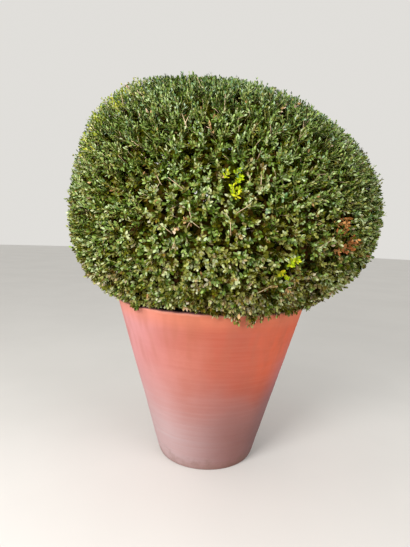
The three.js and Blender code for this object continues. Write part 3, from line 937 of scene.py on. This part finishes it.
def grow_levels():
    """Grows every level from the boughs and the stem. Returns the curves of those and of each level, and the
    points of the last level that shoots may grow from, with the ways of the wood there."""
    curves = [np.stack(points) for points in zip(*[bough_curve(n) for n in range(BOUGHS)], stem_curve())]
    wood, ways = wood_of(curves, *BOUGH_FORKS)
    levels = [curves]
    for level in LEVELS:
        directions = leaning_directions(level["ends"], level["lean"], level["lift"])
        ends = crown_point(directions, level["depth"])
        above = ends[:, 2] > POT_HEIGHT + WOOD_ABOVE_RIM
        directions, ends = directions[above], ends[above]
        curves = grow_from(wood, ways, ends, rising(directions, TWIG_RISE))
        levels.append(curves)
        wood, ways = wood_of(curves, *TWIG_FORKS)
    return levels, wood, ways


def grow_shoots(wood, ways, rng):
    """The leafy shoots: ends just under the clipped surface, deeper where a hollow is, joined to the twigs.
    Each arrives rising, and strays a little to any side."""
    count = bpy.context.scene.topiary_leaves.shoots
    directions = leaning_directions(count, SHOOT_LEAN, SHOOT_LIFT)
    surface = crown_point(directions)
    field = ripples(surface, *HOLLOW_RIPPLES)
    hollow = np.maximum(smooth_step(field, *HOLLOW_STEPS), closeness(surface, HOLLOWS))
    chance = rng.random(count)
    depth = between(SHOOT_DEPTHS, rng.random(count))
    depth += bpy.context.scene.topiary_crown.hollow_depth * hollow
    depth += SUNK_BY * (chance > 1 - SUNK_SHARE) - TALL_BY * (chance < TALL_SHARE) - proud(surface)
    ends = crown_point(directions, depth)
    kept = clear_of_pot(ends, SHOOT_GAPS[0]) & (ends[:, 2] > POT_HEIGHT + SHOOT_GAPS[1])
    kept &= rng.random(count) > HOLLOW_LOSS * hollow
    directions, ends = directions[kept], ends[kept]
    outward = unit(rising(directions, SHOOT_RISE) + SHOOT_STRAY * rng.normal(size=ends.shape))
    return grow_from(wood, ways, ends, outward)


def proud(points):
    """How far the crown stands out past its surface at the points."""
    return PROUD_HEIGHT * closeness(points, PROUD)


def bare_stems():
    """The stems that the photograph shows bare. Each rises from under the surface almost up to it."""
    from_azimuth, from_elevation, azimuth, elevation = np.array(BARE_STEMS).T
    start = crown_point(direction_at(from_azimuth, from_elevation), BARE_DEPTHS[0])
    end = crown_point(direction_at(azimuth, elevation), BARE_DEPTHS[1])
    return start, (start + end) / 2 + unit(start - CROWN_CENTRE) * BARE_BOW, end


def rim_shoots(rng):
    """Sprigs that hang over the rim in clumps: the photograph's own, and shorter ones all round, set by the
    golden angle. Each starts from the leafy shell above the rim."""
    azimuth, drop = np.array(RIM_SPRIGS).T
    azimuth = np.concatenate([azimuth, np.degrees(np.arange(RIM_CLUMPS) * GOLDEN_ANGLE)])
    drop = np.concatenate([drop, CLUMP_STOPS * rng.random(RIM_CLUMPS) - CLUMP_STOPS])
    azimuth = np.repeat(azimuth, CLUMP_SHOOTS) + rng.normal(0, CLUMP_SPREAD, len(azimuth) * CLUMP_SHOOTS)
    drop = np.repeat(drop, CLUMP_SHOOTS) - CLUMP_STRAY * rng.random(len(azimuth))
    out = direction_at(azimuth, 0)
    rim = pot_radius(POT_HEIGHT)
    reach = (rim + rng.uniform(*SPRIG_REACH, len(azimuth)))[:, None]
    above = POT_HEIGHT + rng.uniform(*SPRIG_ABOVE, len(azimuth))
    start = out * (rim - SPRIG_INSIDE) + UP * above[:, None]
    bend = out * (reach + SPRIG_BEND[0]) + UP * (POT_HEIGHT + SPRIG_BEND[1])
    return start, bend, out * reach + UP * (POT_HEIGHT - drop)[:, None]


class TOPIARY_OT_twigs(bpy.types.Operator):
    """Grows branches, side branches and twigs out to the leafy shell"""
    bl_idname = "topiary.twigs"
    bl_label = "Branches and Twigs"

    def execute(self, context):
        for level, curves in zip(LEVELS, grow_levels()[0][1:]):
            t = np.linspace(0, 1, level["rings"])
            centres = bent(*curves, np.broadcast_to(t, (len(curves[0]), len(t))))
            wobble = 1 + TWIG_WOBBLE * ripple(centres, 0.03, 71)
            surface = tubes(centres, between(level["radii"], t) * wobble, level["sides"])
            material = plain_material(f"Bark of {level['name']}", level["colour"], Roughness=0.85)
            dress(new_object(level["name"], *surface, [material]), "bark", "foliage")
        return {"FINISHED"}


# Leaves

# Every kind of leaf: its roughness, the weight of its wax and its tints. The first five run from dark to
# pale, and their tints from cool green to brown. The palest are partly paler leaves and partly painted
# glints, and the sunlit kind is painted sunlight
LEAF_KINDS = {
    "leaves_old": (0.42, 0.10, (36, 62, 18), (50, 66, 6), (66, 64, 4), (76, 56, 8)),
    "leaves_summer": (0.38, 0.25, (62, 98, 38), (80, 104, 18), (100, 102, 16), (114, 94, 26)),
    "leaves_olive": (0.38, 0.30, (98, 134, 88), (112, 138, 62), (130, 132, 62), (142, 126, 76)),
    "leaves_young": (0.38, 0.30, (134, 166, 116), (148, 172, 90), (164, 168, 94), (176, 158, 112)),
    "leaves_pale_and_glints": (0.34, 0.60, (164, 186, 156), (176, 194, 140), (188, 194, 146), (194, 188, 160)),
    "leaves_bright": (0.48, 0.05, (180, 200, 20), (204, 212, 44), (160, 186, 28), (200, 194, 38)),
    "leaves_sunlit": (0.48, 0.05, (126, 150, 40), (156, 168, 46), (184, 184, 68), (214, 212, 144)),
    "leaves_rust": (0.70, 0.0, (182, 116, 64), (204, 148, 92), (152, 96, 54), (178, 112, 70)),
    "leaves_dry": (0.70, 0.0, (198, 156, 104), (210, 176, 126), (226, 198, 170), (156, 116, 78)),
    "leaves_shade": (0.60, 0.0, (54, 74, 8), (66, 68, 8), (70, 54, 16), (84, 50, 30)),
}
BRIGHT, SUNNY, RUST, DRY, SHADE = range(5, 10)
TINTS = 4
SHOOT_COLOURS = ((158, 160, 92), (204, 178, 142))
# How much wax each tint carries, as a share of its kind's
WAX_SHARES = (2.0, 0.8, 0.5, 1.2)
LEAF_TRIANGLES = 4
PIECE_LEAVES = 45000

# A leaf's tone, from dark to pale, and where the kinds part: patches over the crown as height, length and
# seed, the middle painted paler as painted light, chance by spray and by leaf, age, depth in the shell
# (older leaves, with painted shade), lowness (painted light) and the rim's painted shade
TONE_STEPS = (-0.57, 0.24, 0.94, 1.54)
TONE_PATCHES = ((0.30, 0.30, 91), (0.25, 0.07, 92))
TONE = {"middle": 0.50, "spray": 0.40, "leaf": 0.90, "age": 1.10, "deep": 1.8, "low": 0.25, "rim": 0.5}
DEEP = (0.035, 0.075)
RIM_SHADE = 0.02
# How surely a shoot at the middle of a place belongs to it, and the share of its leaves that take its kind
SUNLIT_SHARES = (0.75, 0.65)
BRIGHT_SHARE = 1.4
RUST_SHARES = (1.4, 0.8)
DRY_SHARES = (1.3, 0.75)
STRAY_DRY = 0.003
# Where the tints part, how much warmer they are for each metre down and at the crown's centre, how much
# cooler at the cool places, and how much they vary by spray, by leaf and among the shade leaves
TINT_STEPS = (-1.03, 0.18, 1.04)
WARMER_LOW = 1.6
WARM_CENTRE = 0.12
COOLER_BY = 0.25
WARMTH_VARIES = {"spray": 0.40, "leaf": 0.30, "shade": 0.45}

# How the pairs of a shoot vary: how far they slide in steps, turn in radians and open in degrees, how much
# they seek the light, and their length
PAIR_SLIDE = 0.22
PAIR_TURN = 0.35
PAIR_OPENING = 15
PAIR_LIGHT = (0.1, 1.6)
PAIR_LENGTH = (0.72, 1.12)
TIP_SHORTER = 0.22
LIGHT_RISE = 0.8
STALK = 0.0012

# How far a tip may stand out past the clipped surface, and how high above the rim sprigs stay untrimmed
TRIM = 0.027
RIM_ZONE = 0.05


def leaf_outline():
    """A leaf's six points as shares of its breadth, length and length: foot, right edge, tip and left edge.
    It folds down on both sides of the line from foot to tip, and the tip droops."""
    right = np.stack([np.array(LEAF_SHARES) / 2, LEAF_STATIONS, np.full(2, -LEAF_FOLD)], -1)
    left = (right * [-1, 1, 1])[::-1]
    return np.concatenate([[[0, 0, 0]], right, [[0, 1, -LEAF_DROOP]], left])


def leaf_faces(count):
    """Four triangles a leaf, all from its foot: two on each side of the middle line."""
    fan = np.array([[0, 1, 2], [0, 2, 3], [0, 3, 4], [0, 4, 5]])
    return (fan + 6 * np.arange(count)[:, None, None]).reshape(-1, 3)


def set_leaves(shoots, form, rng):
    """Opposite pairs up each shoot, each pair turned a right angle on from the last and closing towards
    the tip. A blade points along cos·way + sin·side of its opening angle, and its upper side faces the
    shoot's tip, turned partly to the light. Returns each leaf's foot, pointing, upper side, length, age
    and shoot."""
    count, pairs = len(shoots[0]), form["pairs"]
    pair = np.arange(pairs)
    t = (pair + 0.75 + rng.uniform(-PAIR_SLIDE, PAIR_SLIDE, (count, pairs))) / pairs
    t = np.minimum(form["from"] + (1 - form["from"]) * t, 1.0)
    foot, way = bent(*shoots, t), bent_way(*shoots, t)
    first = unit(np.cross(way, rng.normal(size=(count, 1, 3))))
    second = np.cross(way, first)
    turn = rng.uniform(0, 2 * np.pi, (count, 1)) + pair * np.pi / 2
    turn = (turn + rng.normal(0, PAIR_TURN, (count, pairs)))[..., None] + np.array([0, np.pi])
    side = first[:, :, None] * np.cos(turn)[..., None] + second[:, :, None] * np.sin(turn)[..., None]
    age = np.broadcast_to((pair / (pairs - 1))[:, None], turn.shape)
    opening = np.radians(between(form["open"], age) + rng.normal(0, PAIR_OPENING, turn.shape))
    way = way[:, :, None]
    pointing = unit(way * np.cos(opening)[..., None] + side * np.sin(opening)[..., None])
    light = unit(unit(shoots[2] - CROWN_CENTRE) + LIGHT_RISE * UP)[:, None, None]
    light = form["light"] / (1 - form["light"]) * light * rng.uniform(*PAIR_LIGHT, turn.shape + (1,))
    upper = square_to(pointing, square_to(pointing, way) + light)
    longest = bpy.context.scene.topiary_leaves.length * form["size"]
    length = longest * rng.uniform(*PAIR_LENGTH, turn.shape) * (1 - TIP_SHORTER * age ** 2)
    foot = foot[:, :, None] + pointing * STALK
    length = length * (1 - LIGHT_SHORTER * smooth_step(foot[..., 2], *LIGHT_HEIGHTS))
    shoot = np.broadcast_to(np.arange(count)[:, None, None], turn.shape)
    flat = [foot.reshape(-1, 3), pointing.reshape(-1, 3), upper.reshape(-1, 3)]
    return flat + [values.ravel() for values in (length, age, shoot)]


def leaf_vertices(foot, pointing, upper, length, curl=1.0):
    """The outline's points set along each leaf's own across, pointing and upper ways, as (leaves, 6, 3)."""
    across = np.cross(pointing, upper)
    shape = leaf_outline()[None] * length[:, None, None]
    narrowed = 1 - LIGHT_NARROWER * smooth_step(foot[:, 2], *LIGHT_HEIGHTS)
    breadth = (bpy.context.scene.topiary_leaves.breadth * narrowed)[:, None, None]
    return (foot[:, None] + shape[..., :1] * breadth * across[:, None] + shape[..., 1:2] * pointing[:, None]
            + shape[..., 2:] * curl * upper[:, None])


def in_tufts(ends, places, least, most, rng):
    """Which shoots belong to a tuft: by chance, from most at its middle to least everywhere else."""
    return rng.random(len(ends)) < np.maximum(least, most * closeness(ends, places))


def deal_kinds(foot, age, shoot, ends, rng):
    """Which kind each leaf is, from its tone. Leaves near a spray's tip are paler; low down and in the
    middle they are painted paler as painted light; deep in the shell they are darker as older leaves with
    painted shade, and at the rim darker as painted shade. The painted sunlit side and the tufts lie where
    they are listed."""
    # The middle is painted paler: painted light
    spray = ripples(ends, *TONE_PATCHES) + TONE["middle"] * closeness(ends, PAINTED_LIGHT_MIDDLE)
    spray = spray + TONE["spray"] * rng.normal(size=len(ends))
    tone = spray[shoot] + TONE["age"] * (age - 0.5) + TONE["leaf"] * rng.normal(size=len(shoot))
    # Deep in the shell the leaves are darker: older leaves, and painted shade
    tone = tone - TONE["deep"] * smooth_step(crown_depth(foot), *DEEP)
    # Low on the crown the leaves are paler: painted light
    tone = tone + TONE["low"] * (CROWN_CENTRE[2] - foot[:, 2])
    tone = tone - TONE["rim"] * (foot[:, 2] < POT_HEIGHT + RIM_SHADE)
    kind = np.digitize(tone, TONE_STEPS)
    sunny = in_tufts(ends, SUNLIT, 0, SUNLIT_SHARES[0], rng)[shoot]
    kind[sunny & (rng.random(len(shoot)) < SUNLIT_SHARES[1])] = SUNNY
    kind[in_tufts(ends, BRIGHT_TUFTS, 0, BRIGHT_SHARE, rng)[shoot] & (age > 0.15)] = BRIGHT
    dry = in_tufts(ends, DRY_TUFTS, STRAY_DRY, DRY_SHARES[0], rng)[shoot]
    dry &= rng.random(len(shoot)) < DRY_SHARES[1]
    kind[dry | (rng.random(len(shoot)) < STRAY_DRY)] = DRY
    rust = in_tufts(ends, RUST_TUFTS, 0, RUST_SHARES[0], rng)[shoot]
    kind[rust & (rng.random(len(shoot)) < RUST_SHARES[1])] = RUST
    return kind


def warmth(places, varies, rng):
    """How far each place's tints go from cool green at the top and the lower left to brown low down."""
    low = WARMER_LOW * (CROWN_CENTRE[2] - places[:, 2]) + WARM_CENTRE
    chance = WARMTH_VARIES[varies] * rng.normal(size=len(places))
    return low - COOLER_BY * closeness(places, COOLER) + chance


def deal_tints(kind, shoot, ends, rng):
    """Which tint of its kind each leaf takes: the green kinds by their warmth, partly one for a whole spray,
    and the others any tint."""
    warm = warmth(ends, "spray", rng)[shoot] + WARMTH_VARIES["leaf"] * rng.normal(size=len(shoot))
    by_spray = rng.integers(0, TINTS, len(ends))[shoot]
    any_tint = np.where(rng.random(len(shoot)) < 0.5, by_spray, rng.integers(0, TINTS, len(shoot)))
    return np.where(kind < BRIGHT, np.digitize(warm, TINT_STEPS), any_tint)


def on_bare_rim(leaves):
    """True for leaves that reach down to a bare stretch of the rim."""
    facing = np.degrees(np.arctan2(leaves[:, 0, 1], leaves[:, 0, 0])) % -360
    lowest = leaves[..., 2].min(-1)
    bare = [(lowest < POT_HEIGHT + gap) & (facing > first) & (facing < last)
            for first, last, gap in BARE_RIM]
    return np.any(bare, axis=0)


def dead_leaves():
    """The dead leaves on the rim, each pointing its own way and curled up along its edges."""
    azimuth, out, above, way, rise, length = np.array(DEAD_LEAVES).T
    foot = direction_at(azimuth, 0) * (pot_radius(POT_HEIGHT) + out)[:, None]
    foot = foot + UP * (POT_HEIGHT + above)[:, None]
    pointing = direction_at(way, rise)
    return leaf_vertices(foot, pointing, np.cross(pointing, direction_at(way + 90, 0)), length, -DEAD_CURL)


def shoot_surface(shoots, bare):
    """A thin tapering tube up each shoot, thicker where it is bare."""
    t = np.broadcast_to(np.linspace(0, 1, SHOOT_RINGS), (len(bare), SHOOT_RINGS))
    radii = between(SHOOT_RADII, t) * np.where(bare, BARE_THICKNESS, 1)[:, None]
    return tubes(bent(*shoots, t), radii, SHOOT_SIDES)


class TOPIARY_OT_leaves(bpy.types.Operator):
    """Grows the leafy shoots and deals out their leaves by kind"""
    bl_idname = "topiary.leaves"
    bl_label = "Shoots and Leaves"

    def execute(self, context):
        rng = np.random.default_rng(7)
        levels, wood, ways = grow_levels()
        shoots = [np.concatenate(points) for points in zip(
            bare_stems(), grow_shoots(wood, ways, rng), rim_shoots(rng))]
        bare = rng.random(len(shoots[0])) < BARE_SHARE
        bare[:len(BARE_STEMS)] = True
        barks = [plain_material(f"{look} shoots", colour, Roughness=0.7)
                 for look, colour in zip(("Green", "Pale"), SHOOT_COLOURS)]
        dealt = np.concatenate([np.repeat(bare, SHOOT_SIDES * (SHOOT_RINGS - 1)), bare, bare])
        dress(new_object("shoots", *shoot_surface(shoots, bare), barks, dealt), "bark", "foliage")

        foot, pointing, upper, length, age, shoot = set_leaves(shoots, SHOOT_LEAVES, rng)
        outer = leaf_vertices(foot, pointing, upper, length)
        kind = deal_kinds(foot, age, shoot, shoots[2], rng)
        kept = (crown_depth(outer[:, 3]) > -TRIM - proud(foot)) | (foot[:, 2] < POT_HEIGHT + RIM_ZONE)
        kept &= (age > BARE_TO) | ~bare[shoot]
        tint = deal_tints(kind, shoot, shoots[2], rng)

        inner = np.concatenate([
            leaf_vertices(*set_leaves(limbs, form, rng)[:4]) for limbs, form in zip(levels, SHADE_LEAVES)])
        inner_tint = np.digitize(warmth(inner[:, 0], "shade", rng), TINT_STEPS)
        grown = np.concatenate([outer, inner])
        kept = np.concatenate([kept, np.ones(len(inner), bool)]) & ~on_bare_rim(grown)
        dead = dead_leaves()
        vertices = np.concatenate([grown, dead])
        kind = np.concatenate([kind, np.full(len(inner), SHADE), np.full(len(dead), DRY)])
        tint = np.concatenate([tint, inner_tint, 1 + np.arange(len(dead)) % 2])
        kept = np.concatenate([kept, np.ones(len(dead), bool)]) & clear_of_pot(vertices).all(-1)
        for number, (name, form) in enumerate(LEAF_KINDS.items()):
            materials = leaf_materials(name, *form)
            chosen = np.flatnonzero(kept & (kind == number))
            for part, some in enumerate(np.array_split(chosen, 1 + len(chosen) // PIECE_LEAVES)):
                dealt = np.repeat(tint[some], LEAF_TRIANGLES)
                surface = vertices[some].reshape(-1, 3), [leaf_faces(len(some))]
                dress(new_object(f"{name}_{part + 1}", *surface, materials, dealt), "leaves", "foliage")
        return {"FINISHED"}


# Stage

FLOOR_RADIUS = 30
FLOOR_CORNERS = 96
SKY_COLOUR = (1.0, 0.98, 0.94, 1)
# Where the lamps aim, and for each its place, its size, its share of the key lamp's power and its colour
LAMPS_AIM = Vector((0, 0, 1.0))
LAMPS = {"Key": ((-2.1, -3.5, 2.5), 1.8, 1.0, (1.0, 0.98, 0.95)),
         "Fill": ((3.0, -2.6, 2.2), 3.0, 0.26, (0.95, 0.97, 1.0))}
# The camera, as fitted to the photograph: its lens and sensor in millimetres, and its turn, how far it looks
# down and its roll in degrees
CAMERA_PLACE = (0, -2.245, 1.19)
CAMERA_LENS = 27.05
CAMERA_SENSOR = 36.0
CAMERA_TURN = 0.95
CAMERA_DOWN = 5.33
CAMERA_ROLL = 2.17


def add_lamp(name, power, place, size, share, colour):
    """A square softbox that faces the middle of the plant and its pot."""
    lamp = bpy.data.objects.new(name, bpy.data.lights.new(name, "AREA"))
    lamp.data.size = size
    lamp.data.energy = power * share
    lamp.data.color = colour
    lamp.location = place
    lamp.rotation_euler = (LAMPS_AIM - lamp.location).to_track_quat("-Z", "Y").to_euler()
    bpy.context.scene.collection.objects.link(lamp)


def turned_by(degrees, axis):
    return Matrix.Rotation(np.radians(degrees), 4, axis)


class TOPIARY_OT_stage(bpy.types.Operator):
    """Lays the pale floor and sets the soft lights and the camera"""
    bl_idname = "topiary.stage"
    bl_label = "Stage"

    def execute(self, context):
        scene = context.scene
        settings = scene.topiary_stage
        disc = np.concatenate([circle(FLOOR_CORNERS) * FLOOR_RADIUS, np.zeros((FLOOR_CORNERS, 1))], -1)
        material = floor_material(settings.floor_colour)
        floor = new_object("floor", disc, [np.arange(FLOOR_CORNERS)[None]], [material])

        scene.world = bpy.data.worlds.new("Soft sky")
        scene.world.use_nodes = True
        sky = scene.world.node_tree.nodes["Background"].inputs
        sky["Color"].default_value = SKY_COLOUR
        sky["Strength"].default_value = settings.sky_strength
        for name, lamp in LAMPS.items():
            add_lamp(name, settings.key_power, *lamp)

        camera = bpy.data.objects.new("Camera", bpy.data.cameras.new("Camera"))
        camera.data.lens = CAMERA_LENS
        camera.data.sensor_width = CAMERA_SENSOR
        turn = turned_by(CAMERA_TURN, "Z") @ turned_by(90 - CAMERA_DOWN, "X") @ turned_by(CAMERA_ROLL, "Z")
        camera.matrix_world = Matrix.Translation(CAMERA_PLACE) @ turn
        scene.collection.objects.link(camera)
        scene.camera = camera
        scene.view_settings.view_transform = "Standard"
        return {"FINISHED"}


class TOPIARY_PT_sidebar(bpy.types.Panel):
    """Lists the settings and the operators in the 3D view's sidebar"""
    bl_idname = "TOPIARY_PT_sidebar"
    bl_label = "Box Topiary Ball"
    bl_space_type = "VIEW_3D"
    bl_region_type = "UI"
    bl_category = "Topiary"

    def draw(self, context):
        layout = self.layout
        for owner in SETTINGS:
            box = layout.box()
            settings = getattr(context.scene, owner)
            for name in settings.__annotations__:
                box.prop(settings, name)
        for operator in OPERATORS:
            layout.operator(operator.bl_idname)


SETTINGS = {
    "topiary_pot": TopiaryPotSettings,
    "topiary_crown": TopiaryCrownSettings,
    "topiary_wood": TopiaryWoodSettings,
    "topiary_leaves": TopiaryLeafSettings,
    "topiary_stage": TopiaryStageSettings,
}
OPERATORS = (
    TOPIARY_OT_stage, TOPIARY_OT_pot, TOPIARY_OT_soil, TOPIARY_OT_trunk, TOPIARY_OT_boughs,
    TOPIARY_OT_twigs, TOPIARY_OT_leaves,
)


def register():
    for owner, settings in SETTINGS.items():
        bpy.utils.register_class(settings)
        setattr(bpy.types.Scene, owner, bpy.props.PointerProperty(type=settings))
    for shown in (*OPERATORS, TOPIARY_PT_sidebar):
        bpy.utils.register_class(shown)


def unregister():
    for shown in (TOPIARY_PT_sidebar, *reversed(OPERATORS)):
        bpy.utils.unregister_class(shown)
    for owner, settings in SETTINGS.items():
        delattr(bpy.types.Scene, owner)
        bpy.utils.unregister_class(settings)


def main():
    register()
    bpy.ops.topiary.stage()
    bpy.ops.topiary.pot()
    bpy.ops.topiary.soil()
    bpy.ops.topiary.trunk()
    bpy.ops.topiary.boughs()
    bpy.ops.topiary.twigs()
    bpy.ops.topiary.leaves()


if __name__ == "__main__":
    main()
